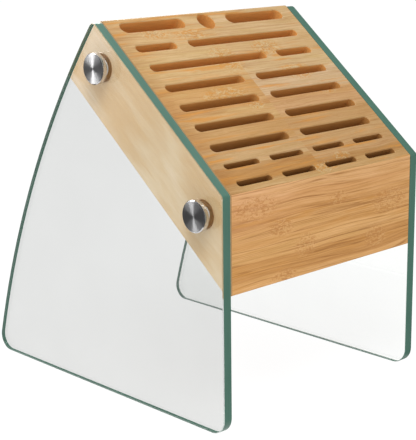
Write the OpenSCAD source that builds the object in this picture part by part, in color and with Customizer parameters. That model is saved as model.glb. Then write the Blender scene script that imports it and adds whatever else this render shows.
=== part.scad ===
// Knife block: a slotted bamboo block held on a slope between two glass side panels.
// Millimetres. +X is the block's right, +Y its back, +Z up. The origin is on the table,
// under the middle of the whole object. Each panel is held by two cap screws, which unscrew.

/* [Glass side panels] */
// Clear distance between the two panels
panel_gap = 150; // [150:0.5:156]
// Thickness of each panel
glass_t = 6; // [5:0.5:8]
// Height of the straight front edge, from the table to the bend
front_h = 132; // [125:1:140]
// Slope of the top edge above the horizontal
slope_angle = 39.5; // [38:0.5:41]
// Length of the sloped top edge, to the sharp corner
slope_len = 132.2; // [132.1:0.1:133]
// Depth at the table, to the sharp corner
foot_depth = 209.7; // [207:0.1:214]
// Radius of the bowed back edge
back_edge_r = 566; // [520:2:640]
// Radius of the front foot's corner
front_foot_r = 10; // [6:1:14]
// Radius of the back foot's corner
back_foot_r = 9; // [6:1:14]
// Radius of the corner at the top
apex_r = 4; // [3:0.5:6]
// Radius of the corner where the slope meets the front edge
bend_r = 2; // [1:0.5:3]

/* [Bamboo block] */
// Thickness of the whole block, square to the slope
block_t = 42.6; // [41:0.2:44]
// Length of the block's top face up the slope
block_len = 132; // [131.8:0.1:132]
// Thickness of the top board; the core below it takes the rest
top_t = 12; // [11:0.5:13]
// Thickness of the board that closes the front
front_board_t = 7; // [5:0.5:7]
// Rounding of the block's two front edges
wood_edge_r = 0.8; // [0.5:0.1:1.2]
// Rounding of the block's top back edge
crest_r = 1.8; // [1:0.1:2.4]

/* [Slots] */
// Width across the block that the slots fill
slotted_w = 130.5; // [128:0.5:131]
// Width of a steak knife slot
steak_w = 3.4; // [3:0.1:3.8]
// Width of a utility, chef's or bread knife slot
chef_w = 5.2; // [4.6:0.1:5.6]
// Width of a shears or cleaver slot
cleaver_w = 7.6; // [7:0.1:7.8]
// Diameter of the hole for the honing steel
steel_d = 12; // [11.4:0.1:12]
// Chamfer round the mouth of each slot
mouth_chamfer = 0.5; // [0.2:0.1:0.6]
// Distance from the bend to the first row of slots
first_row = 6; // [5.8:0.1:6.4]
// Pitch between the two steak knife rows
steak_pitch = 12.2; // [11.8:0.1:12.4]
// Pitch between the rows of equal chef's slots
chef_pitch = 15; // [14.8:0.1:15.2]

/* [Cap screws] */
// Diameter of the steel cap
cap_d = 17.6; // [16:0.2:20]
// Thickness of the steel cap
cap_t = 3.2; // [2.8:0.1:4]
// Chamfer of the cap's rim
cap_chamfer = 0.45; // [0.3:0.05:0.6]
// Thread diameter of the stud
stud_d = 6; // [5:0.5:6]
// Length of the stud
stud_len = 16; // [15:0.5:16]
// Length of the stud that is screwed into the cap
stud_in_cap = 1.8; // [1.5:0.1:2]
// Thickness of the clear washers and gaskets on both faces of the glass
washer_t = 0.5; // [0.4:0.1:0.6]
// Diameter of the washer under the cap
washer_d = 15; // [13:0.5:16]
// Diameter of the gasket between glass and wood
gasket_d = 16; // [14:0.5:17]
// Diameter of the drilled hole in the glass
glass_hole_d = 10; // [9:0.5:11]
// Outer diameter of the threaded insert in the wood
insert_d = 8; // [7.5:0.5:8]
// Length of the threaded insert
insert_len = 8; // [7.8:0.1:8]
// Distance of the upper screws up the slope from the bend
upper_along = 112.3; // [111:0.1:114]
// Depth of the upper screws below the top face
upper_deep = 17.5; // [17.1:0.1:19]
// Distance of the lower screws up the slope from the bend
lower_along = 5.9; // [5:0.1:7]
// Depth of the lower screws below the top face
lower_deep = 21.2; // [20:0.1:22]

/* [Hidden] */
$fn = 96;

left = -1;
right = 1;
running_gap = 0.05;     // radial clearance round a turning stud
sleeve_gap = 0.1;       // radial clearance between sleeve and glass
glue_t = 0.03;          // thickness of a glue line between the top board's strips
socket_af = 3;          // hexagon socket of the stud, across its flats
socket_depth = 3.5;
insert_groove = 0.4;    // depth of the two grooves round an insert
past = 1;               // how far a cutter runs past the faces it cuts
far = 400;              // longer than any side of the object

block_w = panel_gap - 2 * washer_t;
block_front_z = front_h - block_t / cos(slope_angle);

// Corners of the panel's outline before rounding, as [y, z] from the bottom of the front edge
bend = [0, front_h];
apex = bend + slope_len * [cos(slope_angle), sin(slope_angle)];
back_foot = [foot_depth, 0];

// Centre of the back edge's arc, which passes through the apex and the back foot
chord = back_foot - apex;
chord_len = norm(chord);
back_centre = (apex + back_foot) / 2
    + sqrt(pow(back_edge_r, 2) - pow(chord_len / 2, 2)) / chord_len * [chord[1], -chord[0]];

// Centres of the corner arcs
front_foot_c = [front_foot_r, front_foot_r];
back_foot_c = [
    back_centre[0] + sqrt(pow(back_edge_r - back_foot_r, 2) - pow(back_foot_r - back_centre[1], 2)),
    back_foot_r
];
bend_c = bend + bend_r * [1, -tan(45 - slope_angle / 2)];
along = [cos(slope_angle), sin(slope_angle)];
inward = [sin(slope_angle), -cos(slope_angle)];
apex_start = bend + apex_r * inward - back_centre;
apex_run = -apex_start * along
    + sqrt(pow(apex_start * along, 2) - apex_start * apex_start + pow(back_edge_r - apex_r, 2));
apex_c = bend + apex_r * inward + apex_run * along;

depth = back_foot_c[0] + back_foot_r;

// Rows of slots from the bend upwards: [distance up the slope, slot width, lengths from the left]
steak_slots = [26, 26, 26, 26];
chef_slots = [60, 60];
chef_first = first_row + steak_pitch + 13.1;
bread_first = chef_first + 4 * chef_pitch + 0.9;
bread_pitch = 15.2;
cleaver_row = bread_first + bread_pitch + 16.8;
SLOT_ROWS = [
    [first_row, steak_w, steak_slots],
    [first_row + steak_pitch, steak_w, steak_slots],
    for (i = [0:3]) [chef_first + i * chef_pitch, chef_w, chef_slots],
    [bread_first, chef_w, [91, 30]],
    [bread_first + bread_pitch, chef_w, [30, 91]],
    [cleaver_row, cleaver_w, [48, 48]]
];
steel_row = cleaver_row - 0.5;
ROWS = len(SLOT_ROWS);
last_row = SLOT_ROWS[ROWS - 1];

function sum(list, count) = count == 0 ? 0 : list[count - 1] + sum(list, count - 1);
function slot_gap(lengths) = (slotted_w - sum(lengths, len(lengths))) / (len(lengths) - 1);
function slot_x(lengths, i) =
    -slotted_w / 2 + sum(lengths, i) + i * slot_gap(lengths) + lengths[i] / 2;

function row_bottom(i) = SLOT_ROWS[i][0] - SLOT_ROWS[i][1] / 2;
function row_top(i) = SLOT_ROWS[i][0] + SLOT_ROWS[i][1] / 2;

// Half the wood between the two slots of the last row, to their ends and to their straight sides
slot_inner = slot_gap(last_row[2]) / 2;
slot_straight = slot_inner + last_row[1] / 2;

upper_at = [upper_along, upper_deep];
lower_at = [lower_along, lower_deep];

// ---- Frames ----

// From the front edge's foot to the middle of the object
module centred() translate([0, -depth / 2, 0]) children();

// An outline drawn as [y, z], made into a solid between two x positions
module slab(x0, x1) translate([x0, 0, 0]) rotate([90, 0, 90]) linear_extrude(x1 - x0) children();

// The sloping top face: +Y runs up the slope from the bend and +Z points out of the wood
module on_slope() centred() translate([0, 0, front_h]) rotate([slope_angle, 0, 0]) children();

// A fixing: +Z points outwards along its axis, and z = 0 is the wood's side face
module at_fixing(side, at)
    on_slope() translate([side * block_w / 2, at[0], -at[1]]) rotate([0, side * 90, 0]) children();

// ---- Outlines ----

module sharp_outline() intersection() {
    translate(back_centre) circle(back_edge_r, $fn = 720);
    polygon([[0, 0], bend, apex, apex + far * along, [far, 0]]);
}

// The part of a convex corner that lies outside its rounding arc
module corner_waste(centre, r, a, b, tip) difference() {
    polygon([centre, a, tip, b]);
    translate(centre) circle(r);
}

// Point on a corner arc, or past it, in the direction of the back edge's radius
function on_back_radius(centre, reach) =
    centre + reach * (centre - back_centre) / norm(centre - back_centre);

module panel_outline() difference() {
    sharp_outline();
    corner_waste(front_foot_c, front_foot_r,
        [front_foot_r, -past], [-past, front_foot_r], [-past, -past]);
    corner_waste(back_foot_c, back_foot_r,
        [back_foot_c[0], -past], on_back_radius(back_foot_c, back_foot_r + past), [foot_depth + 5, -5]);
    corner_waste(bend_c, bend_r,
        bend_c - [bend_r + past, 0], bend_c - (bend_r + past) * inward, bend + [-3, 3]);
    corner_waste(apex_c, apex_r,
        apex_c - (apex_r + past) * inward, on_back_radius(apex_c, apex_r + past), apex + [0, 6]);
}

// Side view of the whole block: a band under the slope, its back cut flush with the panels
module block_outline() intersection() {
    sharp_outline();
    polygon([
        bend,
        bend + block_len * along,
        bend + block_len * along + block_t * inward,
        [0, block_front_z]
    ]);
}

// The sliver outside a rounded corner, where a and b are unit vectors along its two sides
module rounding_waste(corner, a, b, r) difference() {
    half = acos(a * b) / 2;
    reach = r / tan(half);
    centre = corner + r / sin(half) * (a + b) / norm(a + b);
    polygon([centre, corner + reach * a, corner - 0.5 * (a + b), corner + reach * b]);
    translate(centre) circle(r, $fn = 48);
}

module eased_block_outline() difference() {
    block_outline();
    rounding_waste(bend, [0, -1], along, wood_edge_r);
    rounding_waste([0, block_front_z], [0, 1], along, wood_edge_r);
    rounding_waste(bend + block_len * along, -along, inward, crest_r);
}

// Side view of the front board, mitred to the top board at the bend
module front_outline() intersection() {
    eased_block_outline();
    polygon([
        [0, 0],
        bend,
        bend + front_board_t * [1, -tan(45 - slope_angle / 2)],
        [front_board_t, 0]
    ]);
}

// ---- Wood ----

module slot_cutter(length, width, height) {
    straight = length - width;
    for (end = [-1, 1]) translate([end * straight / 2, 0, 0]) cylinder(d = width, h = height);
    translate([-straight / 2, -width / 2, 0]) cube([straight, width, height]);
}

// A chamfer cutter with its wide end at z = 0
module mouth_cutter(length, width) {
    straight = length - width;
    wide = width / 2 + mouth_chamfer + past;
    rise = mouth_chamfer + past;
    for (end = [-1, 1]) translate([end * straight / 2, 0, -mouth_chamfer])
        cylinder(r1 = width / 2, r2 = wide, h = rise);
    translate([-straight / 2, 0, -mouth_chamfer]) rotate([90, 0, 90]) linear_extrude(straight)
        polygon([[-width / 2, 0], [width / 2, 0], [wide, rise], [-wide, rise]]);
}

module each_slot() for (row = SLOT_ROWS) for (i = [0:len(row[2]) - 1])
    translate([slot_x(row[2], i), row[0], 0]) {
        $length = row[2][i];
        $width = row[1];
        children();
    }

module slots() on_slope() translate([0, 0, -block_t - past])
    each_slot() slot_cutter($length, $width, block_t + 2 * past);

module steel_hole() on_slope() translate([0, steel_row, -block_t - past])
    cylinder(d = steel_d, h = block_t + 2 * past);

module slot_mouths() on_slope() {
    each_slot() mouth_cutter($length, $width);
    translate([0, steel_row, -mouth_chamfer])
        cylinder(d1 = steel_d, d2 = steel_d + 2 * (mouth_chamfer + past), h = mouth_chamfer + past);
}

// One layer of the block, between two depths below the top face
module layer(from, to) intersection() {
    centred() slab(-block_w / 2, block_w / 2) difference() {
        eased_block_outline();
        front_outline();
    }
    on_slope() translate([-far / 2, -far / 2, -to]) cube([far, far, to - from]);
}

// What lies between two distances from the middle, on one side of it, and two up the slope
module band(side, x0, x1, v0, v1) on_slope()
    translate([min(side * x0, side * x1), v0, -block_t - past])
        cube([x1 - x0, v1 - v0, block_t + 2 * past]);

module glue_line(side, x0, x1, v0, v1)
    band(side, x0 - glue_t / 2, x1 + glue_t / 2, v0 - glue_t / 2, v1 + glue_t / 2);

// The top board is glued up from strips, which part along both sides of each row of slots
module glue_lines() for (side = [left, right]) {
    for (i = [0:ROWS - 1], v = [row_bottom(i), row_top(i)])
        glue_line(side, i == ROWS - 1 ? slot_straight : -past, far, v, v);
    glue_line(side, slot_straight, slot_straight, row_top(ROWS - 2), far);
}

module top_board() color("burlywood") difference() {
    layer(-past, top_t);
    slots();
    steel_hole();
    slot_mouths();
    glue_lines();
}

// The core is a lattice: two stiles, bars between them, and spacers that end the slots
module core() layer(top_t, block_t + past);

module core_bars() color("tan") for (side = [left, right]) {
    for (i = [0:ROWS - 2]) intersection() {
        core();
        band(side, 0, slotted_w / 2, i == 0 ? -far : row_top(i - 1), row_bottom(i));
    }
    for (run = [[row_top(ROWS - 2), row_bottom(ROWS - 1)], [row_top(ROWS - 1), far]]) intersection() {
        core();
        band(side, slot_inner, slotted_w / 2, run[0], run[1]);
    }
}

module core_spacers() color("wheat") for (i = [0:ROWS - 2]) {
    lengths = SLOT_ROWS[i][2];
    for (k = [1:len(lengths) - 1]) intersection() {
        core();
        end = slot_x(lengths, k) - lengths[k] / 2;
        band(right, end - slot_gap(lengths), end, row_bottom(i), row_top(i));
    }
}

module core_stile(side) color("navajowhite") difference() {
    intersection() {
        core();
        band(side, slotted_w / 2, far, -far, far);
    }
    for (at = [upper_at, lower_at])
        at_fixing(side, at) translate([0, 0, -insert_len]) cylinder(d = insert_d, h = insert_len + past);
}

module core_stile_left() core_stile(left);
module core_stile_right() core_stile(right);

module core_steel_block() color("tan") difference() {
    intersection() {
        core();
        band(right, -slot_inner, slot_inner, row_top(ROWS - 2), far);
    }
    steel_hole();
}

module front_board() color("peru")
    centred() slab(-block_w / 2, block_w / 2) front_outline();

// ---- Glass ----

module glass_panel(side) color("powderblue", 0.4) difference() {
    centred() slab(min(side * panel_gap / 2, side * (panel_gap / 2 + glass_t)),
        max(side * panel_gap / 2, side * (panel_gap / 2 + glass_t))) panel_outline();
    for (at = [upper_at, lower_at])
        at_fixing(side, at) cylinder(d = glass_hole_d, h = washer_t + glass_t + past);
}

module glass_panel_left() glass_panel(left);
module glass_panel_right() glass_panel(right);

// ---- Fixings, each along +Z outwards from the wood's side face ----

glass_inside = washer_t;
glass_outside = glass_inside + glass_t;
cap_back = glass_outside + washer_t;
stud_bottom = cap_back + stud_in_cap - stud_len;

module ring(outer, inner, bottom, height) translate([0, 0, bottom]) difference() {
    cylinder(d = outer, h = height);
    translate([0, 0, -past]) cylinder(d = inner, h = height + 2 * past);
}

module cap() color("silver") difference() {
    translate([0, 0, cap_back]) {
        cylinder(d = cap_d, h = cap_t - cap_chamfer);
        translate([0, 0, cap_t - cap_chamfer])
            cylinder(d1 = cap_d, d2 = cap_d - 2 * cap_chamfer, h = cap_chamfer);
    }
    translate([0, 0, cap_back - past]) cylinder(d = stud_d, h = stud_in_cap + past);
}

module stud() color("gray") translate([0, 0, stud_bottom]) difference() {
    cylinder(d = stud_d, h = stud_len);
    translate([0, 0, -past]) cylinder(d = socket_af / cos(30), h = socket_depth + past, $fn = 6);
}

module washer() color("whitesmoke") ring(washer_d, stud_d + 2 * running_gap, glass_outside, washer_t);

module sleeve() color("white")
    ring(glass_hole_d - 2 * sleeve_gap, stud_d + 2 * running_gap, glass_inside, glass_t);

module gasket() color("whitesmoke") ring(gasket_d, glass_hole_d, 0, washer_t);

module insert() color("goldenrod") translate([0, 0, -insert_len]) difference() {
    cylinder(d = insert_d, h = insert_len);
    translate([0, 0, -past]) cylinder(d = stud_d + 2 * running_gap, h = insert_len + 2 * past);
    for (z = [0.3, 0.6]) translate([0, 0, z * insert_len])
        ring(insert_d + past, insert_d - 2 * insert_groove, 0, insert_groove);
}

glass_panel_left();
glass_panel_right();
top_board();
front_board();
core_bars();
core_spacers();
core_stile_left();
core_stile_right();
core_steel_block();
at_fixing(left, upper_at) cap();  // cap_left_upper
at_fixing(left, lower_at) cap();  // cap_left_lower
at_fixing(right, upper_at) cap();  // cap_right_upper
at_fixing(right, lower_at) cap();  // cap_right_lower
at_fixing(left, upper_at) stud();  // stud_left_upper
at_fixing(left, lower_at) stud();  // stud_left_lower
at_fixing(right, upper_at) stud();  // stud_right_upper
at_fixing(right, lower_at) stud();  // stud_right_lower
at_fixing(left, upper_at) washer();  // washer_left_upper
at_fixing(left, lower_at) washer();  // washer_left_lower
at_fixing(right, upper_at) washer();  // washer_right_upper
at_fixing(right, lower_at) washer();  // washer_right_lower
at_fixing(left, upper_at) sleeve();  // sleeve_left_upper
at_fixing(left, lower_at) sleeve();  // sleeve_left_lower
at_fixing(right, upper_at) sleeve();  // sleeve_right_upper
at_fixing(right, lower_at) sleeve();  // sleeve_right_lower
at_fixing(left, upper_at) gasket();  // gasket_left_upper
at_fixing(left, lower_at) gasket();  // gasket_left_lower
at_fixing(right, upper_at) gasket();  // gasket_right_upper
at_fixing(right, lower_at) gasket();  // gasket_right_lower
at_fixing(left, upper_at) insert();  // insert_left_upper
at_fixing(left, lower_at) insert();  // insert_left_lower
at_fixing(right, upper_at) insert();  // insert_right_upper
at_fixing(right, lower_at) insert();  // insert_right_lower
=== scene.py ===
"""A slotted bamboo knife block held on a slope between two glass side panels.

Lengths are in metres, in the frame of the CAD model. The wood's patterns are worked out in
millimetres on the block's own axes: x across it, v up its slope, n square out of its top face.
"""
import math

import bmesh
import bpy
from mathutils import Matrix, Vector


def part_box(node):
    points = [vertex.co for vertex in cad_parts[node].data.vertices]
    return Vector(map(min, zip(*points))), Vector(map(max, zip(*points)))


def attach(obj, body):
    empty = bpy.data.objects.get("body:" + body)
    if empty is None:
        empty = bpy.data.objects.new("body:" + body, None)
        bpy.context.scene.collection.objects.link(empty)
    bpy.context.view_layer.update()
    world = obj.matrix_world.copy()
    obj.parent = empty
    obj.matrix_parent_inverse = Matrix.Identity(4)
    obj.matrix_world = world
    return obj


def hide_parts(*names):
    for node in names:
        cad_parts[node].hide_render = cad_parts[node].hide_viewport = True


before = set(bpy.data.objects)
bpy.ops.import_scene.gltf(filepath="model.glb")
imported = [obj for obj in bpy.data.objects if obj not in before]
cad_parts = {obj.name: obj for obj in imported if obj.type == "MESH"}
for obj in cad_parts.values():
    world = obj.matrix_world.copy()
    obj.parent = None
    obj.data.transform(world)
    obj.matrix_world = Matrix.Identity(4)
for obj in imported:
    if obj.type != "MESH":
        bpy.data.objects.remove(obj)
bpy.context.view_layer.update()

MM = 0.001
SIDES = {"left": -1, "right": 1}
SCREWS = [(side, level) for side in SIDES for level in ("upper", "lower")]

# Glass edge: a ground green band between two shallow polished arrises
ARRIS_WIDTH = 0.45 * MM
FRONT_ARRIS_WIDTH = 0.6 * MM
ARRIS_DEPTH = 0.3 * MM
HOLE_ARRIS = 0.4 * MM
HOLE_PLAY = 0.1 * MM
AIR_FILM = 0.02 * MM

# Turned cap
RIM_CHAMFER = 0.45 * MM
RIM_EASE = 0.12 * MM
BACK_CHAMFER = 0.25 * MM
CAP_HOLE_EASE = 0.1 * MM
CAP_HOLE_DEPTH = 1.8 * MM

# M6 stud with a hexagon socket
THREAD_PITCH = 1.0 * MM
THREAD_DEPTH = 0.55 * MM
STUD_PLAY = 0.01 * MM
STUD_EASE = 0.6 * MM
SOCKET_RADIUS = 1.73 * MM
SOCKET_DEPTH = 3.5 * MM

# The camera: yaw from +Y towards +X, pitch downwards, and roll
CAMERA_AT = Vector((-0.5135, -0.5491, 0.2731))
CAMERA_YAW = math.radians(43.466)
CAMERA_PITCH = math.radians(13.83)
CAMERA_ROLL = math.radians(-0.698)
CAMERA_LENS = 102.29


# ---- Measures taken from the frame ----

def convex_outline(points):
    """The convex hull of 2D points, anticlockwise."""
    points = sorted(set(points))
    halves = []
    for run in (points, points[::-1]):
        half = []
        for p in run:
            while len(half) > 1 and turn(half[-2], half[-1], p) <= 0:
                half.pop()
            half.append(p)
        halves += half[:-1]
    return [Vector(p) for p in halves]


def turn(a, b, c):
    return (b[0] - a[0]) * (c[1] - a[1]) - (b[1] - a[1]) * (c[0] - a[0])


def panel_outline(node):
    """The (y, z) outline of a glass panel, without points closer together than the CAD's own."""
    corners = [(round(v.co.y, 6), round(v.co.z, 6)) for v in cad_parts[node].data.vertices]
    hull = convex_outline(corners)
    return [p for i, p in enumerate(hull) if (p - hull[i - 1]).length > 0.05 * MM]


def sloped_edge(outline):
    """The two ends of the long sloping edge, lower end first."""
    pairs = [(outline[i - 1], p) for i, p in enumerate(outline)]
    slanting = [(a, b) for a, b in pairs if min(abs(a.x - b.x), abs(a.y - b.y)) > 10 * MM]
    return sorted(max(slanting, key=lambda pair: (pair[0] - pair[1]).length), key=lambda p: p.y)


OUTLINE = panel_outline("glass_panel_left")
slope_low, slope_high = sloped_edge(OUTLINE)
rise = slope_high - slope_low
SLOPE = math.atan2(rise.y, rise.x)
FRONT_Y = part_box("front_board")[0].y
BEND = Vector((0, FRONT_Y, slope_low.y - (slope_low.x - FRONT_Y) * math.tan(SLOPE)))
BLOCK_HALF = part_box("top_board")[1].x / MM


# ---- Shader graphs ----

def srgb(red, green, blue):
    """A colour as seen, 0 to 255, as the linear colour a shader takes."""
    linear = []
    for c in (red / 255, green / 255, blue / 255):
        linear.append(c / 12.92 if c <= 0.04045 else ((c + 0.055) / 1.055) ** 2.4)
    return (*linear, 1)


def lit(colour, light):
    """The surface colour that is seen as the given one under that much light."""
    return tuple(min(c / light, 0.9) for c in srgb(*colour)[:3]) + (1,)


class Graph:
    """One node material, with short calls that add a node, wire it and return its output."""

    def __init__(self, name):
        self.material = bpy.data.materials.new(name)
        self.material.use_nodes = True
        self.tree = self.material.node_tree
        self.tree.nodes.clear()

    def add(self, kind, inputs, output=0, **settings):
        node = self.tree.nodes.new("ShaderNode" + kind)
        for name, value in settings.items():
            setattr(node, name, value)
        for name, value in inputs.items():
            if isinstance(value, bpy.types.NodeSocket):
                self.tree.links.new(value, node.inputs[name])
            else:
                node.inputs[name].default_value = value
        return node.outputs[output]

    def math(self, operation, a, b=0.0, clamp=False):
        return self.add("Math", {0: a, 1: b}, operation=operation, use_clamp=clamp)

    def length(self, a, b):
        """The length of the 2D vector (a, b)."""
        squares = [self.math("MULTIPLY", part, part) for part in (a, b)]
        return self.math("SQRT", self.math("ADD", *squares))

    def split(self, vector):
        return list(self.add("SeparateXYZ", {0: vector}).node.outputs)

    def join(self, x, y, z=0.0):
        return self.add("CombineXYZ", {0: x, 1: y, 2: z})

    def scaled(self, vector, factors):
        return self.add("VectorMath", {0: vector, 1: factors}, operation="MULTIPLY")

    def moved(self, vector, offset):
        return self.add("VectorMath", {0: vector, 1: offset}, operation="ADD")

    def mix(self, factor, a, b, blend="MIX"):
        return self.add("Mix", {0: factor, 6: a, 7: b}, output=2,
                        data_type="RGBA", blend_type=blend)

    def step(self, value, low, high):
        """0 below low and 1 above high, smoothly between."""
        inputs = {"Value": value, "From Min": low, "From Max": high}
        return self.add("MapRange", inputs, interpolation_type="SMOOTHSTEP")

    def between(self, value, low, high, to_low, to_high):
        """to_low at low and to_high at high, in a straight line between."""
        inputs = {"Value": value, "From Min": low, "From Max": high,
                  "To Min": to_low, "To Max": to_high}
        return self.add("MapRange", inputs)

    def noise(self, vector, detail=2.0, roughness=0.5, distortion=0.0):
        inputs = {"Vector": vector, "Scale": 1.0, "Detail": detail, "Roughness": roughness,
                  "Distortion": distortion}
        return self.add("TexNoise", inputs)

    def ramp(self, value, stops, interpolation="LINEAR"):
        """A colour ramp: stops are (position, colour)."""
        node = self.tree.nodes.new("ShaderNodeValToRGB")
        self.tree.links.new(value, node.inputs[0])
        ramp = node.color_ramp
        ramp.interpolation = interpolation
        while len(ramp.elements) < len(stops):
            ramp.elements.new(0.5)
        for element, (position, colour) in zip(ramp.elements, stops):
            element.position = position
            element.color = colour
        return node.outputs[0]

    def bump(self, height, strength, distance):
        return self.add("Bump", {"Height": height, "Strength": strength, "Distance": distance})

    def principled(self, **inputs):
        named = {name.replace("_", " "): value for name, value in inputs.items()}
        return self.add("BsdfPrincipled", named)

    def finish(self, shader):
        output = self.tree.nodes.new("ShaderNodeOutputMaterial")
        self.tree.links.new(shader, output.inputs["Surface"])
        return self.material


# ---- Bamboo ----

# Colours of the glued strips from the bend upwards, as (v, colour), each half of the top face
LEFT_STRIPS = [
    (0, (199, 163, 114)), (6, (197, 160, 110)), (7, (192, 142, 80)), (13, (190, 143, 86)),
    (17, (192, 150, 100)), (18, (202, 169, 126)), (30, (201, 165, 120)), (31.5, (196, 153, 100)),
    (43, (200, 159, 108)), (46, (210, 173, 124)), (55, (207, 168, 117)), (56.5, (202, 152, 94)),
    (60, (207, 164, 112)), (68, (208, 164, 108)), (73, (204, 158, 98)), (76, (211, 176, 128)),
    (86, (213, 181, 135)), (91, (210, 176, 126)), (93, (213, 183, 137)), (105, (211, 178, 131)),
    (108, (214, 182, 137)), (120, (212, 178, 132)), (124, (215, 184, 140)), (132, (212, 176, 126)),
]
RIGHT_STRIPS = [
    (0, (200, 163, 115)), (6, (196, 158, 108)), (7.5, (182, 137, 84)), (11, (186, 143, 92)),
    (12, (197, 158, 114)), (19, (199, 161, 116)), (30, (200, 164, 119)), (33, (199, 159, 111)),
    (44, (200, 160, 112)), (46, (208, 167, 124)), (55, (206, 164, 119)), (57, (206, 160, 110)),
    (61, (208, 166, 120)), (62, (212, 182, 147)), (76, (212, 183, 150)), (78, (213, 184, 144)),
    (90, (212, 182, 140)), (93, (212, 179, 136)), (105, (211, 177, 132)), (108, (215, 185, 144)),
    (120, (213, 182, 138)), (124, (216, 186, 146)), (132, (212, 178, 130)),
]
# Colours of the front board from its lower edge upwards, as (z in millimetres, colour)
FRONT_STRIPS = [
    (77, (212, 163, 108)), (82, (207, 159, 104)), (82.6, (190, 140, 86)), (87, (197, 147, 90)),
    (92, (194, 144, 88)), (93, (208, 161, 106)), (101, (209, 163, 109)), (102, (200, 151, 95)),
    (105.6, (201, 153, 97)), (106.2, (206, 159, 105)), (113, (205, 157, 103)),
    (114, (197, 147, 93)), (117.5, (199, 150, 96)), (118, (206, 158, 107)), (122, (205, 156, 104)),
    (122.6, (202, 152, 101)), (125, (205, 156, 106)), (126, (210, 164, 117)),
    (132, (211, 166, 119)),
]
# Light that falls on the top face, the front and the sides, where 1 is the white background
TOP_LIGHT = 1.42
FRONT_LIGHT = 1.08
SIDE_LIGHT = 1.05
# Bamboo nodes, the knuckles of the cane: centre and reach along and across the fibres
TOP_KNOTS = [
    (-28, 66, 22, 7), (-8, 92, 14, 13), (-12, 56, 9, 4), (2, 5, 12, 5), (21, 10, 9, 4),
    (40, 76, 16, 8), (30, 98, 15, 8), (52, 60, 12, 5), (-45, 118, 14, 6), (-20, 114, 16, 5),
]
FRONT_KNOTS = [
    (-56, 122, 22, 8), (-37, 108, 12, 6), (-17, 95, 11, 8), (43, 88, 12, 8), (56, 108, 20, 9),
    (-34, 80, 14, 5), (10, 117, 10, 5),
]

# Colours of the slot walls: pale at the upper end of the slope, dark at the lower
SLOT_PALE = srgb(226, 164, 92)
SLOT_DARK = srgb(150, 106, 58)
STREAK_LIGHT = 1.5
ORANGE = lit((214, 146, 54), STREAK_LIGHT)
CREAM = lit((228, 202, 152), STREAK_LIGHT)
FLECK = lit((168, 110, 50), STREAK_LIGHT)
# Factors on a colour
WHITE = (1, 1, 1, 1)
# A factor that makes the outermost left strip of the top darker and warmer
LEFT_STRIP_TINT = (0.87, 0.8, 0.7, 1)
# Painted light: a factor that makes the side faces paler towards the top of the slope
UPHILL_PAINTED_LIGHT = (1.15, 1.15, 1.24, 1)
FINE_TINTS = (0.88, 0.83, 0.65, 1), (1.09, 1.09, 1.1, 1)
BROAD_TINTS = (0.94, 0.88, 0.74, 1), (1.06, 1.07, 1.1, 1)
# Painted shade: the brown of the side faces close to the top face, in the gap beside the glass
GAP_SHADE_BROWN = srgb(150, 118, 78)
# The wood behind painted onto the glass bevel where it borders the wood
ARRIS_PAINTED_WOOD = srgb(206, 184, 146)
FRONT_ROSE = lit((214, 160, 122), FRONT_LIGHT)
FRONT_CURL = lit((178, 122, 66), FRONT_LIGHT)
FRONT_BLOTCH = lit((206, 158, 102), FRONT_LIGHT)
SIDE_PALE = lit((232, 212, 178), SIDE_LIGHT)
SIDE_WARM = lit((220, 188, 140), SIDE_LIGHT)

# Where the wood's surfaces lie on the block's axes, in millimetres
SLOT_MOUTH = 0.42
UNDERSIDE = 42.1
BACK_FACE = 129.8
SIDE_FACE = BLOCK_HALF - 0.2
# Over which a tint grows from none to full: the darker outer left strip of the top, the painted
# light up the side faces and the painted shade at the top of the side faces
LEFT_STRIP_X = (-58.0, -74.0)
UPHILL_PAINTED_LIGHT_V = (60.0, 130.0)
GAP_SHADE_DEPTH = (1.3, 0.6)
# Between the two halves of the top, which takes the right half's dark lines from elsewhere
SEAM_LIFT = 37.0


def block_axes(graph):
    """The surface point on the block's own axes, in millimetres: x, v and n."""
    place = graph.add("TexCoord", {}, output=3)
    inputs = {"Vector": place, "Location": BEND, "Rotation": (SLOPE, 0, 0), "Scale": (MM, MM, MM)}
    return graph.add("Mapping", inputs, vector_type="TEXTURE")


def front_axes(graph):
    """The surface point in millimetres, with the height above the table as its third part."""
    place = graph.add("TexCoord", {}, output=3)
    return graph.scaled(place, (1 / MM, 1 / MM, 1 / MM))


def strip_ramp(graph, value, strips, light):
    """The colours of a list of strips, by the height that value gives."""
    low, high = strips[0][0], strips[-1][0]
    share = graph.between(value, low, high, 0.0, 1.0)
    return graph.ramp(share, [((v - low) / (high - low), lit(c, light)) for v, c in strips])


def knot_mask(graph, across, along, knots):
    """1 at the middle of each knot, falling to 0 at its reach along and across the fibres."""
    total = 0.0
    for x, v, reach_x, reach_v in knots:
        dx = graph.math("MULTIPLY", graph.math("ADD", across, -x), 1 / reach_x)
        dv = graph.math("MULTIPLY", graph.math("ADD", along, -v), 1 / reach_v)
        far = graph.length(dx, dv)
        total = graph.math("ADD", total, graph.math("SUBTRACT", 1.0, far, clamp=True), clamp=True)
    return total


def fibres(graph, vector, knots, wave):
    """Fibre streaks along x as three greys: fine, broad and wide. Knots bend and break them."""
    wobble = graph.noise(graph.scaled(vector, (0.22, 0.5, 0.5)), detail=3.0)
    shift = graph.math("MULTIPLY", graph.math("ADD", wobble, -0.5),
                       graph.math("ADD", graph.math("MULTIPLY", knots, 13.0), wave))
    bent = graph.add("VectorMath", {0: vector, 1: graph.join(shift, shift, shift)}, operation="ADD")
    fine = graph.noise(graph.scaled(bent, (0.06, 1.5, 1.5)), detail=3.0, roughness=0.65)
    broad = graph.noise(graph.scaled(bent, (0.022, 0.36, 0.36)), detail=2.0)
    wide_vector = graph.moved(graph.scaled(bent, (0.012, 0.13, 0.13)), (7.3, 2.1, 4.4))
    wide = graph.noise(wide_vector, detail=1.0)
    return fine, broad, wide


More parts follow.
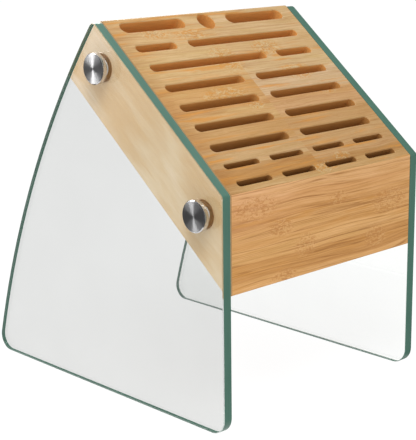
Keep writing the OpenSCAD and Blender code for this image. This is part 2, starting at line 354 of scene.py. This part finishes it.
def side_grain(graph, vector):
    """The pale side faces, with their grain running up the slope, and painted light that makes them
    paler towards the top of the slope.
    """
    fine = graph.noise(graph.scaled(vector, (0.4, 0.05, 0.9)), detail=3.0, roughness=0.6)
    broad = graph.noise(graph.scaled(vector, (0.1, 0.02, 0.07)), detail=3.0, distortion=0.4)
    base = graph.mix(graph.step(broad, 0.3, 0.7), SIDE_PALE, SIDE_WARM)
    streaked = graph.mix(graph.between(fine, 0.3, 0.7, 0.0, 0.24), base, SIDE_WARM, "MULTIPLY")
    # Painted light: the side faces grow paler towards the top of the slope
    painted_light_uphill = graph.between(graph.split(vector)[1], *UPHILL_PAINTED_LIGHT_V, 0.0, 1.0)
    return graph.mix(painted_light_uphill, streaked, graph.mix(1.0, streaked, UPHILL_PAINTED_LIGHT, "MULTIPLY"))


def bamboo(name, colour_of, in_block_axes=True, wave=1.2, orange_share=0.75, cream_share=0.3,
           knot_colours=(ORANGE, CREAM), speck_share=0.55):
    """Bamboo with its strips from colour_of, pale side faces with painted shade along the gap to
    the glass, and brown slot walls.

    in_block_axes tells the sloping boards from the upright front board. The shares say how much
    the streaks and the knots' specks show.
    """
    graph = Graph(name)
    vector = block_axes(graph)
    x, v, n = graph.split(vector)
    depth = graph.math("MULTIPLY", n, -1.0)
    grain_vector = vector if in_block_axes else front_axes(graph)
    colour, knots = colour_of(graph, grain_vector)
    fine, broad, wide = fibres(graph, grain_vector, knots, wave)

    orange = graph.math("MULTIPLY", graph.step(broad, 0.5, 0.68), graph.step(wide, 0.42, 0.58))
    colour = graph.mix(graph.math("MULTIPLY", orange, orange_share), colour, ORANGE)
    pale = graph.math("MULTIPLY", graph.step(broad, 0.48, 0.34), graph.step(wide, 0.5, 0.36))
    colour = graph.mix(graph.math("MULTIPLY", pale, cream_share), colour, CREAM)
    for streak, (dark, light) in ((fine, FINE_TINTS), (broad, BROAD_TINTS)):
        shade = graph.mix(graph.between(streak, 0.28, 0.72, 0.0, 1.0), dark, light)
        colour = graph.mix(1.0, colour, shade, "MULTIPLY")

    curls = graph.noise(graph.scaled(grain_vector, (0.26, 0.5, 0.5)),
                        detail=4.0, roughness=0.65, distortion=1.6)
    in_knot = graph.step(knots, 0.0, 0.45)
    curl_colour, blotch_colour = knot_colours
    broken = graph.math("MULTIPLY", graph.step(curls, 0.51, 0.58), in_knot)
    colour = graph.mix(graph.math("MULTIPLY", broken, 0.75), colour, curl_colour)
    blotch = graph.math("MULTIPLY", graph.step(curls, 0.48, 0.4), in_knot)
    colour = graph.mix(graph.math("MULTIPLY", blotch, 0.6), colour, blotch_colour)
    specks = graph.noise(graph.scaled(grain_vector, (0.8, 1.1, 1.1)), detail=3.0, roughness=0.7)
    speck = graph.math("MULTIPLY", graph.step(specks, 0.52, 0.62), graph.step(knots, 0.1, 0.9))
    colour = graph.mix(graph.math("MULTIPLY", speck, speck_share), colour, FLECK)

    if in_block_axes:
        inner = graph.math("MULTIPLY", graph.step(depth, SLOT_MOUTH, SLOT_MOUTH + 0.08),
                           graph.step(depth, UNDERSIDE + 0.1, UNDERSIDE))
        inner = graph.math("MULTIPLY", inner, graph.step(v, BACK_FACE + 0.1, BACK_FACE))
        # The slot walls: orange brown, darker towards the lower end of the slope, with fine flecks
        slot_wall_colour = graph.mix(graph.between(v, 0.0, 95.0, 0.0, 1.0), SLOT_DARK, SLOT_PALE)
        slot_wall_colour = graph.mix(graph.between(fine, 0.3, 0.7, 0.0, 0.35), slot_wall_colour, FLECK)
        colour = graph.mix(inner, colour, slot_wall_colour)
    on_side = graph.step(graph.math("ABSOLUTE", x), SIDE_FACE, SIDE_FACE + 0.05)
    side = side_grain(graph, vector)
    # Painted shade: the side faces turn brown within about a millimetre of the top face, or of the
    # front face on the front board, where the gap to the glass lies in shade
    behind = depth
    if not in_block_axes:
        behind = graph.math("ADD", graph.split(grain_vector)[1], -FRONT_Y / MM)
    side = graph.mix(graph.step(behind, *GAP_SHADE_DEPTH), side, GAP_SHADE_BROWN)
    colour = graph.mix(on_side, colour, side)

    rough = graph.between(fine, 0.25, 0.75, 0.5, 0.38)
    surface = graph.math("ADD", fine, graph.math("MULTIPLY", speck, -speck_share))
    shader = graph.principled(Base_Color=colour, Roughness=rough, Specular_IOR_Level=0.3,
                              Normal=graph.bump(surface, 0.25, 0.15 * MM))
    return graph.finish(shader)


def dark_lines(graph, colour, along, across, families):
    """Long brown lines between the fibres, as families of (pitch, width, share)."""
    for pitch, width, share in families:
        place = graph.join(graph.math("MULTIPLY", along, 0.004),
                           graph.math("MULTIPLY", across, pitch))
        lines = graph.noise(place, detail=2.0, roughness=0.6)
        dark = graph.step(graph.math("ABSOLUTE", graph.math("ADD", lines, -0.5)), width, 0.0)
        colour = graph.mix(graph.math("MULTIPLY", dark, share), colour, FLECK)
    return colour


# Each of these returns the wood's colour before its fibres are added, and its knot mask

def top_colour(graph, vector):
    x, v, _ = graph.split(vector)
    ripple = graph.noise(graph.scaled(vector, (0.02, 0.06, 0.06)), detail=1.0)
    level = graph.math("ADD", v, graph.between(ripple, 0.3, 0.7, -1.2, 1.2))
    left = strip_ramp(graph, level, LEFT_STRIPS, TOP_LIGHT)
    right = strip_ramp(graph, level, RIGHT_STRIPS, TOP_LIGHT)
    on_right = graph.step(x, -0.1, 0.1)
    colour = graph.mix(on_right, left, right)
    shifted = graph.math("ADD", level, graph.math("MULTIPLY", on_right, SEAM_LIFT))
    colour = dark_lines(graph, colour, x, shifted, ((0.24, 0.03, 0.35), (0.5, 0.03, 0.25)))
    # Darker and warmer over the outermost left strip of the top
    left_strip_darkened = graph.mix(1.0, colour, LEFT_STRIP_TINT, "MULTIPLY")
    colour = graph.mix(graph.step(x, *LEFT_STRIP_X), colour, left_strip_darkened)
    knots = knot_mask(graph, x, v, TOP_KNOTS)
    return colour, knots


def front_colour(graph, vector):
    x, _, z = graph.split(vector)
    ripple = graph.noise(graph.scaled(vector, (0.012, 0.05, 0.05)), detail=1.0)
    level = graph.math("ADD", z, graph.between(ripple, 0.3, 0.7, -1.6, 1.6))
    colour = strip_ramp(graph, level, FRONT_STRIPS, FRONT_LIGHT)
    colour = dark_lines(graph, colour, x, level, ((0.2, 0.024, 0.6), (0.42, 0.03, 0.35)))
    rosy = graph.math("MULTIPLY", graph.step(x, 0.0, -70.0), graph.step(z, 95.0, 125.0))
    colour = graph.mix(graph.math("MULTIPLY", rosy, 0.3), colour, FRONT_ROSE)
    knots = knot_mask(graph, x, z, FRONT_KNOTS)
    return colour, knots


def plain_colour(graph, vector):
    _, v, _ = graph.split(vector)
    return strip_ramp(graph, v, LEFT_STRIPS, TOP_LIGHT), 0.0


# ---- Glass, metal and plastic ----

def clear_glass(name, dark, light):
    """Clear glass with a faint grey tint, a little uneven."""
    graph = Graph(name)
    place = graph.add("TexCoord", {}, output=3)
    haze = graph.noise(graph.scaled(place, (30.0, 30.0, 30.0)), detail=2.0)
    tint = graph.mix(graph.between(haze, 0.3, 0.7, 0.0, 1.0), dark, light)
    shader = graph.principled(Base_Color=tint, Roughness=0.0, IOR=1.5, Transmission_Weight=1.0)
    return graph.finish(shader)


def ground_edge():
    """The green of the ground edge band, with the faint lines of the grinding wheel."""
    graph = Graph("glass_edge_green")
    place = graph.add("TexCoord", {}, output=3)
    lines = graph.noise(graph.scaled(place, (5000.0, 40.0, 40.0)), detail=2.0)
    cloud = graph.noise(graph.scaled(place, (60.0, 25.0, 25.0)), detail=2.0)
    colour = graph.mix(graph.between(cloud, 0.3, 0.7, 0.0, 1.0),
                       srgb(70, 105, 92), srgb(63, 97, 84))
    colour = graph.mix(graph.between(lines, 0.4, 0.7, 0.0, 0.3), colour, srgb(88, 122, 108))
    shader = graph.principled(Base_Color=colour, Roughness=0.3, Specular_IOR_Level=0.25,
                              Normal=graph.bump(lines, 0.1, 0.05 * MM))
    return graph.finish(shader)


def painted_highlight_arris():
    """The narrow polished bevel: near white as a painted highlight, and beige where it borders the
    wood behind it, the wood painted on as seen through it.
    """
    graph = Graph("glass_arris_painted_highlight")
    vector = block_axes(graph)
    _, v, n = graph.split(vector)
    ripple = graph.noise(graph.scaled(vector, (0.4, 0.4, 0.4)), detail=2.0)
    # Painted highlight: the bevel is near white for the bright studio seen in it
    colour = graph.mix(ripple, srgb(240, 244, 242), srgb(250, 252, 251))
    # The wood behind painted onto the bevel along the slope and the front
    at_slope = graph.math("MULTIPLY", graph.step(n, -3.0, -1.5), graph.step(v, 1.0, 3.0))
    at_front = graph.math("MULTIPLY", graph.step(n, -UNDERSIDE - 0.4, -UNDERSIDE + 0.6),
                          graph.step(v, 3.0, 1.0))
    colour = graph.mix(graph.math("ADD", at_slope, at_front, clamp=True), colour, ARRIS_PAINTED_WOOD)
    shader = graph.principled(Base_Color=colour, Roughness=0.35, Alpha=0.55,
                              Normal=graph.bump(ripple, 0.1, 0.05 * MM))
    return graph.finish(shader)


def turned_steel():
    """Stainless steel faced on a lathe: fine rings on the flat face, and a polished side."""
    graph = Graph("cap_steel_turned")
    place = graph.add("TexCoord", {}, output=0)
    _, y, z = graph.split(graph.moved(place, (-0.5, -0.5, -0.5)))
    radius = graph.length(y, z)
    rings = graph.noise(graph.join(graph.math("MULTIPLY", radius, 90.0), 0.0, 0.0),
                        detail=4.0, roughness=0.8)
    colour = graph.mix(rings, srgb(204, 203, 204), srgb(232, 231, 231))
    on_face = graph.step(radius, 0.476, 0.47)
    rough = graph.mix(on_face, (0.14, 0.14, 0.14, 1), graph.between(rings, 0.3, 0.7, 0.46, 0.58))
    around = graph.add("Tangent", {}, direction_type="RADIAL", axis="X")
    shader = graph.principled(Base_Color=colour, Metallic=1.0, Roughness=rough, Anisotropic=0.97,
                              Anisotropic_Rotation=0.25, Tangent=around,
                              Normal=graph.bump(rings, 0.06, 0.05 * MM))
    return graph.finish(shader)


def machined_metal(name, dark, light, roughness):
    """Plain machined metal with tool marks round the screw's axis and a slight stain."""
    graph = Graph(name)
    place = graph.add("TexCoord", {}, output=3)
    marks = graph.noise(graph.scaled(place, (9000.0, 600.0, 600.0)), detail=2.0)
    stain = graph.noise(graph.scaled(place, (350.0, 350.0, 350.0)), detail=3.0)
    colour = graph.mix(graph.between(stain, 0.3, 0.7, 0.0, 1.0), dark, light)
    rough = graph.between(marks, 0.3, 0.7, roughness, roughness + 0.12)
    shader = graph.principled(Base_Color=colour, Metallic=1.0, Roughness=rough,
                              Normal=graph.bump(marks, 0.1, 0.02 * MM))
    return graph.finish(shader)


def moulded_plastic(name, dark, light, transmission):
    """Moulded plastic with a faint flow pattern."""
    graph = Graph(name)
    place = graph.add("TexCoord", {}, output=3)
    flow = graph.noise(graph.scaled(place, (250.0, 700.0, 700.0)), detail=3.0)
    colour = graph.mix(graph.between(flow, 0.3, 0.7, 0.0, 1.0), dark, light)
    rough = graph.between(flow, 0.3, 0.7, 0.3, 0.45)
    shader = graph.principled(Base_Color=colour, Roughness=rough, IOR=1.46,
                              Transmission_Weight=transmission,
                              Normal=graph.bump(flow, 0.08, 0.05 * MM))
    return graph.finish(shader)


# ---- Meshes ----

def make_object(name, mesh_builder, materials):
    """An object in the scene from a bmesh, with its materials in slot order."""
    mesh = bpy.data.meshes.new(name)
    mesh_builder.to_mesh(mesh)
    mesh_builder.free()
    for material in materials:
        mesh.materials.append(material)
    made = bpy.data.objects.new(name, mesh)
    bpy.context.scene.collection.objects.link(made)
    return made


def arris_inset(outline, front_width):
    """A convex anticlockwise outline moved inwards, most along its upright front edge."""
    moved = []
    for i, p in enumerate(outline):
        before = (p - outline[i - 1]).normalized()
        after = (outline[(i + 1) % len(outline)] - p).normalized()
        n1, n2 = Vector((-before.y, before.x)), Vector((-after.y, after.x))
        facing_front = max(0.0, (n1 + n2).normalized().x) ** 4
        width = ARRIS_WIDTH + (front_width - ARRIS_WIDTH) * facing_front
        moved.append(p + (n1 + n2) * (width / (1 + n1.dot(n2))))
    return moved


def circle_outline(centre, radius, count=64):
    angles = [2 * math.pi * i / count for i in range(count)]
    return [Vector(centre) + radius * Vector((math.cos(a), math.sin(a))) for a in angles]


def add_ring(mesh, x, outline):
    """A closed ring of vertices at one x, from a (y, z) outline."""
    return [mesh.verts.new((x, p.x, p.y)) for p in outline]


def join_rings(mesh, ring_a, ring_b, material, sharp=True):
    """A band of quads between two closed rings."""
    for i, vert in enumerate(ring_a):
        j = (i + 1) % len(ring_a)
        face = mesh.faces.new((vert, ring_a[j], ring_b[j], ring_b[i]))
        face.smooth = True
        face.material_index = material
    if sharp:
        for edge in ring_edges(mesh, ring_a) + ring_edges(mesh, ring_b):
            edge.smooth = False


def ring_edges(mesh, ring):
    return [mesh.edges.get((v, ring[(i + 1) % len(ring)])) for i, v in enumerate(ring)]


def glass_panel(side):
    """A clear pane with a ground green edge, small arrises and two drilled holes."""
    sign = SIDES[side]
    low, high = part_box(f"glass_panel_{side}")
    inner, outer = sorted((low.x, high.x), key=abs)
    faces_x = (outer - sign * AIR_FILM, inner + sign * AIR_FILM)
    mesh = bmesh.new()
    borders = {x: [] for x in faces_x}

    rings = []
    for x, towards, front, material in zip(faces_x, (-1, 1), (FRONT_ARRIS_WIDTH, ARRIS_WIDTH),
                                           (ARRIS, GREEN)):
        face_ring = add_ring(mesh, x, arris_inset(OUTLINE, front))
        edge_ring = add_ring(mesh, x + towards * sign * ARRIS_DEPTH, OUTLINE)
        join_rings(mesh, face_ring, edge_ring, material)
        borders[x].append(face_ring)
        rings.append(edge_ring)
    join_rings(mesh, *rings, GREEN)

    for level in ("upper", "lower"):
        sleeve_low, sleeve_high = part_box(f"sleeve_{side}_{level}")
        middle = (sleeve_low + sleeve_high) / 2
        radius = (sleeve_high.y - sleeve_low.y) / 2 + HOLE_PLAY
        mouth = circle_outline(middle.yz, radius + HOLE_ARRIS)
        wall = circle_outline(middle.yz, radius)
        rings = []
        for x, towards in zip(faces_x, (-1, 1)):
            face_ring = add_ring(mesh, x, mouth)
            wall_ring = add_ring(mesh, x + towards * sign * HOLE_ARRIS, wall)
            join_rings(mesh, face_ring, wall_ring, ARRIS)
            borders[x].append(face_ring)
            rings.append(wall_ring)
        join_rings(mesh, *rings, GREEN)

    for x in faces_x:
        edges = [edge for ring in borders[x] for edge in ring_edges(mesh, ring)]
        bmesh.ops.triangle_fill(mesh, edges=edges, use_beauty=True)
    bmesh.ops.recalc_face_normals(mesh, faces=mesh.faces)
    panel = make_object(f"glass_pane_{side}", mesh, [side_glass[side], arris, edge_green])
    panel.visible_shadow = False
    panel.visible_diffuse = False
    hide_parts(f"glass_panel_{side}")
    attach(panel, "block")


def lathe(mesh, axis_at, sign, profile, count=96):
    """Turns (radius, distance outwards along x) points round an axis parallel to x."""
    rings = []
    for radius, along in profile:
        outline = circle_outline(axis_at.yz, radius, count)
        rings.append(add_ring(mesh, axis_at.x + sign * along, outline))
    for a, b in zip(rings, rings[1:]):
        join_rings(mesh, a, b, 0, sharp=False)
    return rings


def steel_cap(side, level):
    """A turned cap with a chamfered rim, eased corners and a blind hole for its stud."""
    sign = SIDES[side]
    low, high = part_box(f"cap_{side}_{level}")
    back, front = sorted((low.x, high.x), key=abs)
    thickness = abs(front - back)
    radius = (high.y - low.y) / 2
    stud_low, stud_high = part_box(f"stud_{side}_{level}")
    hole = (stud_high.y - stud_low.y) / 2
    shoulder = thickness - RIM_CHAMFER
    face = radius - RIM_CHAMFER
    profile = [(hole, CAP_HOLE_DEPTH), (hole, CAP_HOLE_EASE), (hole + CAP_HOLE_EASE, 0)]
    profile += [(radius - BACK_CHAMFER, 0), (radius, BACK_CHAMFER), (radius, shoulder - RIM_EASE)]
    profile += [(radius - 0.3 * RIM_EASE, shoulder + 0.2 * RIM_EASE)]
    profile += [(face, thickness - 0.6 * RIM_EASE), (face - RIM_EASE, thickness)]
    profile += [(share * radius, thickness) for share in (0.75, 0.5, 0.25)]
    mesh = bmesh.new()
    centre = Vector((back, (low.y + high.y) / 2, (low.z + high.z) / 2))
    rings = lathe(mesh, centre, sign, profile)
    for ring in (rings[0], rings[-1]):
        mesh.faces.new(ring)
    bmesh.ops.recalc_face_normals(mesh, faces=mesh.faces)
    cap = make_object(f"turned_cap_{side}_{level}", mesh, [cap_steel])
    cap.data.set_sharp_from_angle(angle=math.radians(20))
    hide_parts(f"cap_{side}_{level}")
    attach(cap, f"screw_{side}_{level}")


def threaded_stud(side, level):
    """An M6 stud: a helical thread, plain eased ends and a hexagon socket in its inner end."""
    sign = SIDES[side]
    low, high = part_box(f"stud_{side}_{level}")
    inner, outer = sorted((low.x, high.x), key=abs)
    length = abs(outer - inner)
    radius = (high.y - low.y) / 2 - STUD_PLAY
    centre = Vector((inner, (low.y + high.y) / 2, (low.z + high.z) / 2))
    around, per_turn = 36, 8
    steps = round(length / THREAD_PITCH) * per_turn
    mesh = bmesh.new()
    rings = []
    for step in range(steps + 1):
        along = length * step / steps
        ring = []
        for i in range(around):
            turned = i / around
            phase = (along / THREAD_PITCH - sign * turned) % 1
            cut = THREAD_DEPTH * min(1, max(0, 1.6 * abs(2 * phase - 1) - 0.3))
            ease = max(0, STUD_EASE - min(along, length - along))
            r = min(radius - cut, radius - ease)
            a = 2 * math.pi * turned
            ring.append(mesh.verts.new((centre.x + sign * along, centre.y + r * math.cos(a),
                                        centre.z + r * math.sin(a))))
        rings.append(ring)
    for a, b in zip(rings, rings[1:]):
        join_rings(mesh, a, b, 0, sharp=False)
    mesh.faces.new(rings[-1])
    socket = circle_outline(centre.yz, SOCKET_RADIUS, 6)
    mouth = add_ring(mesh, centre.x, socket)
    floor = add_ring(mesh, centre.x + sign * SOCKET_DEPTH, socket)
    join_rings(mesh, mouth, floor, 0, sharp=False)
    mesh.faces.new(floor)
    rim = ring_edges(mesh, rings[0]) + ring_edges(mesh, mouth)
    bmesh.ops.triangle_fill(mesh, edges=rim, use_beauty=True)
    bmesh.ops.recalc_face_normals(mesh, faces=mesh.faces)
    stud = make_object(f"threaded_stud_{side}_{level}", mesh, [stud_steel])
    stud.data.set_sharp_from_angle(angle=math.radians(40))
    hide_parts(f"stud_{side}_{level}")
    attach(stud, f"screw_{side}_{level}")


def finish_node(node, material):
    """Gives a CAD node its material."""
    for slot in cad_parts[node].material_slots:
        slot.material = material


# ---- The object ----

CLEAR, ARRIS, GREEN = range(3)
# The two panes are one glass given two tints: the left pane's darker grey is painted shade
side_glass = {
    "left": clear_glass("side_glass_left_painted_shade", srgb(228, 229, 228), srgb(230, 231, 230)),
    "right": clear_glass("side_glass_right", srgb(250, 251, 250), srgb(252, 253, 252)),
}
arris = painted_highlight_arris()
edge_green = ground_edge()
cap_steel = turned_steel()
stud_steel = machined_metal("stud_steel_rolled", srgb(150, 150, 152), srgb(178, 178, 180), 0.25)
insert_brass = machined_metal("insert_brass_turned", srgb(176, 138, 70), srgb(205, 168, 96), 0.3)
clear_plastic = moulded_plastic("clear_plastic_soft", srgb(226, 228, 224), srgb(240, 241, 238), 0.7)
# Painted shadow: the gaskets are amber brown so that they show as a brown ring standing in for the
# shadow beside each cap
gasket_shadow_amber = moulded_plastic("gasket_amber_painted_shadow", srgb(168, 116, 60), srgb(192, 140, 80), 0.5)
white_nylon = moulded_plastic("white_nylon_moulded", srgb(226, 225, 218), srgb(240, 239, 234), 0.0)

finish_node("top_board", bamboo("bamboo_top_strips", top_colour))
finish_node("front_board", bamboo("bamboo_front_strips", front_colour, in_block_axes=False,
                                  wave=0.2, orange_share=0.45, cream_share=0.1,
                                  knot_colours=(FRONT_CURL, FRONT_BLOTCH), speck_share=0.15))
core_bamboo = bamboo("bamboo_core_strips", plain_colour)
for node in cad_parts:
    if node.startswith("core_"):
        finish_node(node, core_bamboo)

for side in SIDES:
    glass_panel(side)
for side, level in SCREWS:
    steel_cap(side, level)
    threaded_stud(side, level)
    for part, material in (("washer", clear_plastic), ("gasket", gasket_shadow_amber),
                           ("sleeve", white_nylon), ("insert", insert_brass)):
        finish_node(f"{part}_{side}_{level}", material)


# ---- Studio ----

FLOOR_RADIUS = 12.0
FLOOR_DROP = 0.2 * MM
# Reflection cards, as (kind, radius, degrees back from the side, heights, glow)
CARDS = [
    ("dark", 0.45, (-75, 100), (-0.3, 0.6), 0.09),
    ("bright", 0.44, (40, 65), (0.19, 0.6), 6.0),
]
CARD_STEP = 5


def pale_floor():
    """A round light table, so that the object stands on plain white."""
    graph = Graph("floor_white")
    glow = graph.add("Emission", {"Color": WHITE, "Strength": 0.86})
    matt = graph.add("BsdfDiffuse", {"Color": (0.16, 0.16, 0.16, 1)})
    material = graph.finish(graph.add("AddShader", {0: glow, 1: matt}))
    mesh = bmesh.new()
    outline = circle_outline((0, 0), FLOOR_RADIUS, 96)
    mesh.faces.new([mesh.verts.new((p.x, p.y, -FLOOR_DROP)) for p in outline])
    floor = make_object("floor", mesh, [material])
    floor.visible_glossy = False


def reflection_card(side, kind, radius, degrees, heights, glow):
    """A card curved round one side, which shows only as a reflection in glass and metal."""
    name = f"card_{kind}_{side}"
    graph = Graph(name)
    material = graph.finish(graph.add("Emission", {"Color": WHITE, "Strength": glow}))
    mesh = bmesh.new()
    rows = []
    for angle in range(degrees[0], degrees[1] + 1, CARD_STEP):
        x = SIDES[side] * radius * math.cos(math.radians(angle))
        y = radius * math.sin(math.radians(angle))
        rows.append([mesh.verts.new((x, y, z)) for z in heights])
    for (low_a, high_a), (low_b, high_b) in zip(rows, rows[1:]):
        mesh.faces.new((low_a, low_b, high_b, high_a))
    card = make_object(name, mesh, [material])
    card.visible_camera = False
    card.visible_diffuse = False
    card.visible_transmission = False
    card.visible_shadow = False


def soft_light(name, place, target, size, power):
    light = bpy.data.lights.new(name, "AREA")
    light.shape = "DISK"
    light.size = size
    light.energy = power
    lamp = bpy.data.objects.new(name, light)
    lamp.location = place
    lamp.rotation_euler = (Vector(target) - Vector(place)).to_track_quat("-Z", "Y").to_euler()
    lamp.visible_glossy = False  # the bright cards make the highlights on the steel
    bpy.context.scene.collection.objects.link(lamp)


def white_world():
    world = bpy.data.worlds.new("studio_white")
    world.use_nodes = True
    background = world.node_tree.nodes["Background"]
    background.inputs["Color"].default_value = WHITE
    background.inputs["Strength"].default_value = 1.0
    bpy.context.scene.world = world


def camera():
    forward = Vector((math.sin(CAMERA_YAW) * math.cos(CAMERA_PITCH),
                      math.cos(CAMERA_YAW) * math.cos(CAMERA_PITCH), -math.sin(CAMERA_PITCH)))
    level_right = Vector((math.cos(CAMERA_YAW), -math.sin(CAMERA_YAW), 0))
    level_up = level_right.cross(forward)
    right = math.cos(CAMERA_ROLL) * level_right + math.sin(CAMERA_ROLL) * level_up
    up = right.cross(forward)
    lens = bpy.data.cameras.new("camera")
    lens.lens = CAMERA_LENS
    lens.sensor_width = 36.0
    lens.clip_start = 0.01
    lens.clip_end = 100.0
    made = bpy.data.objects.new("camera", lens)
    turned = Matrix((right, up, -forward)).transposed().to_4x4()
    made.matrix_world = Matrix.Translation(CAMERA_AT) @ turned
    bpy.context.scene.collection.objects.link(made)
    bpy.context.scene.camera = made


pale_floor()
for side in SIDES:
    for card in CARDS:
        reflection_card(side, *card)
soft_light("key", place=(-0.6, -0.5, 1.1), target=(0, 0, 0.12), size=0.7, power=9.0)
white_world()
camera()
bpy.context.scene.view_settings.view_transform = "Standard"
